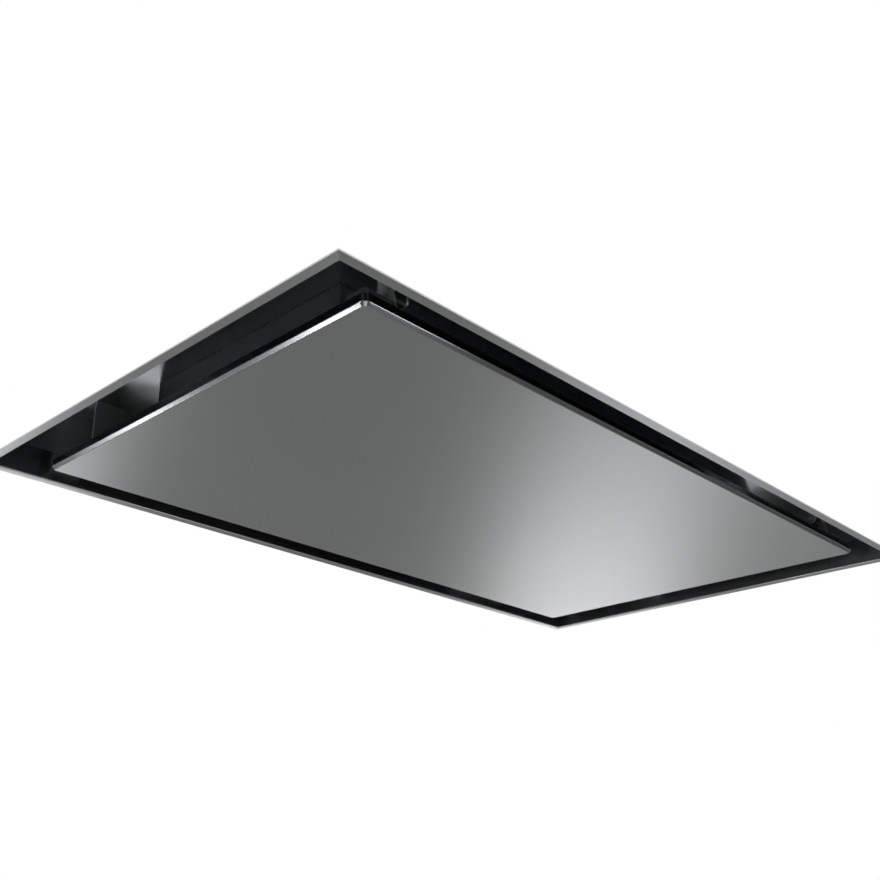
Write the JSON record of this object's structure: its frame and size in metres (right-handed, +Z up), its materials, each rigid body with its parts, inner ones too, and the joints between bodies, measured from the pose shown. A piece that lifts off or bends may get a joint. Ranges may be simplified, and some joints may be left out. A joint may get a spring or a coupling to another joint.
{
  "type": "ceiling range hood",
  "caption": "Flush ceiling range hood: a brushed steel cover with suction slots round its edge, hinged below grease filters and a centrifugal fan.",
  "frame": {"origin": "centre of the ceiling opening, in the plane of the flush underside", "axes": "+X along the long side, +Y from the cover's hinges to its catches, +Z up towards the slab"},
  "size_m": [0.9, 0.5385, 0.299],
  "materials": {
    "brushed_steel": "fine brushed stainless steel",
    "polished_steel": "bright annealed stainless steel",
    "zinc_sheet": "zinc-coated steel sheet",
    "bracket_steel": "zinc-plated steel",
    "aluminium": "mill finish aluminium",
    "cast_aluminium": "die-cast aluminium",
    "black_plastic": "moulded, fine grain",
    "grey_plastic": "moulded, fine grain",
    "board_green": "solder-masked board",
    "black_rubber": "matt rubber"
  },
  "bodies": {
    "casing": {"trim_frame": "brushed_steel", "suction_tray": "polished_steel", "casing_front": "zinc_sheet", "casing_rear": "zinc_sheet", "casing_right": "zinc_sheet", "casing_left": "zinc_sheet", "casing_roof": "zinc_sheet", "hanger_plate_front_left": "bracket_steel", "hanger_plate_front_right": "bracket_steel", "hanger_plate_rear_left": "bracket_steel", "hanger_plate_rear_right": "bracket_steel", "control_box": "grey_plastic", "control_box_lid": "grey_plastic", "circuit_board": "board_green", "cable_gland": "black_plastic", "motor_cable": "black_rubber", "filter_carrier": "brushed_steel", "filter_divider": "brushed_steel", "filter_frame_left": "aluminium", "filter_mesh_left": "aluminium", "filter_handle_left": "grey_plastic", "filter_frame_right": "aluminium", "filter_mesh_right": "aluminium", "filter_handle_right": "grey_plastic", "hinge_hanger_left": "bracket_steel", "hinge_hanger_right": "bracket_steel", "hinge_block_left": "black_plastic", "hinge_block_right": "black_plastic", "hinge_pin_left": "bracket_steel", "hinge_pin_right": "bracket_steel", "catch_hanger_left": "bracket_steel", "catch_hanger_right": "bracket_steel", "catch_magnet_left": "black_plastic", "catch_magnet_right": "black_plastic", "scroll_body": "black_plastic", "scroll_lid": "black_plastic", "inlet_ring": "black_plastic", "motor": "cast_aluminium", "lead_outlet": "black_plastic", "rubber_mount_front_left": "black_rubber", "rubber_mount_front_right": "black_rubber", "rubber_mount_rear_left": "black_rubber", "rubber_mount_rear_right": "black_rubber", "outlet_collar": "grey_plastic"},
    "cover": {"cover_panel": "brushed_steel", "cover_backing": "zinc_sheet", "hinge_arm_left": "bracket_steel", "hinge_arm_right": "bracket_steel", "hinge_shoe_left": "grey_plastic", "hinge_shoe_right": "grey_plastic", "catch_strike_left": "bracket_steel", "catch_strike_right": "bracket_steel"},
    "wheel": {"motor_shaft": "bracket_steel", "wheel_nut": "bracket_steel", "wheel_disc": "black_plastic", "fan_wheel": "black_plastic"},
    "bolt_left": {"filter_bolt_left": "black_plastic"},
    "bolt_right": {"filter_bolt_right": "black_plastic"},
    "left_flap": {"flap_left": "black_plastic"},
    "right_flap": {"flap_right": "black_plastic"}
  },
  "joints": [
    {"name": "cover_hinge", "type": "hinge", "parent": "casing", "child": "cover", "pos_m": [0, -0.196, 0.034], "axis": [-1, 0, 0], "range_deg": [0, 90]},
    {"name": "wheel_spin", "type": "hinge", "parent": "casing", "child": "wheel", "pos_m": [0.02, 0.04, 0.2], "axis": [0, 0, 1], "continuous": true},
    {"name": "bolt_left_slide", "type": "slide", "parent": "casing", "child": "bolt_left", "axis": [0, -1, 0], "range_m": [0, 0.0045], "stiffness_N_per_m": 250, "springref_m": -0.003},
    {"name": "bolt_right_slide", "type": "slide", "parent": "casing", "child": "bolt_right", "axis": [0, -1, 0], "range_m": [0, 0.0045], "stiffness_N_per_m": 250, "springref_m": -0.003},
    {"name": "left_flap_swing", "type": "hinge", "parent": "casing", "child": "left_flap", "pos_m": [-0.1014, -0.2515, 0.2066], "axis": [0, 0, 1], "range_deg": [0, 75], "stiffness_Nm_per_rad": 0.02, "springref_deg": -5.73},
    {"name": "right_flap_swing", "type": "hinge", "parent": "casing", "child": "right_flap", "pos_m": [-0.0946, -0.2515, 0.2066], "axis": [0, 0, -1], "range_deg": [0, 75], "stiffness_Nm_per_rad": 0.02, "springref_deg": -5.73}
  ]
}
